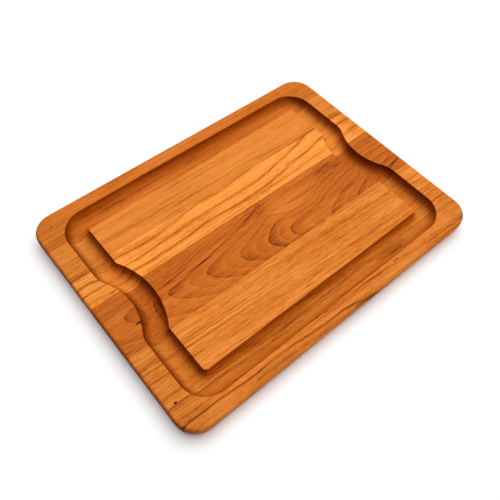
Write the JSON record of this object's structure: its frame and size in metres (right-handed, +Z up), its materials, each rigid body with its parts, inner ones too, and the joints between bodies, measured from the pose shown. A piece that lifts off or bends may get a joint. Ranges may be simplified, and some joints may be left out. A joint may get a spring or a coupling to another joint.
{
  "type": "carving board",
  "caption": "Rectangular wooden carving board with rounded corners and a deep coved juice groove that swells inwards at both short ends.",
  "frame": {"origin": "on the resting plane under the middle of the board", "axes": "+X along the board's length and its grain, +Y across the staves towards the edge that lies away from the camera in the picture, +Z up out of the grooved face"},
  "size_m": [0.508, 0.378, 0.0254],
  "materials": {
    "stave_1_wood": "oiled, satin, straight grain with soft brown growth lines",
    "stave_2_wood": "oiled, satin, fine straight grain",
    "stave_3_wood": "oiled, satin, light wood with a few long wavy growth lines",
    "stave_4_wood": "oiled, satin, reddish flat-sawn wood with arched growth lines",
    "stave_5_wood": "oiled, satin, fine straight grain",
    "stave_6_wood": "oiled, satin, straight grain with one long dark growth line"
  },
  "bodies": {
    "root": {"stave_1_far": "stave_1_wood", "stave_2": "stave_2_wood", "stave_3": "stave_3_wood", "stave_4": "stave_4_wood", "stave_5": "stave_5_wood", "stave_6_near": "stave_6_wood"}
  },
  "joints": []
}
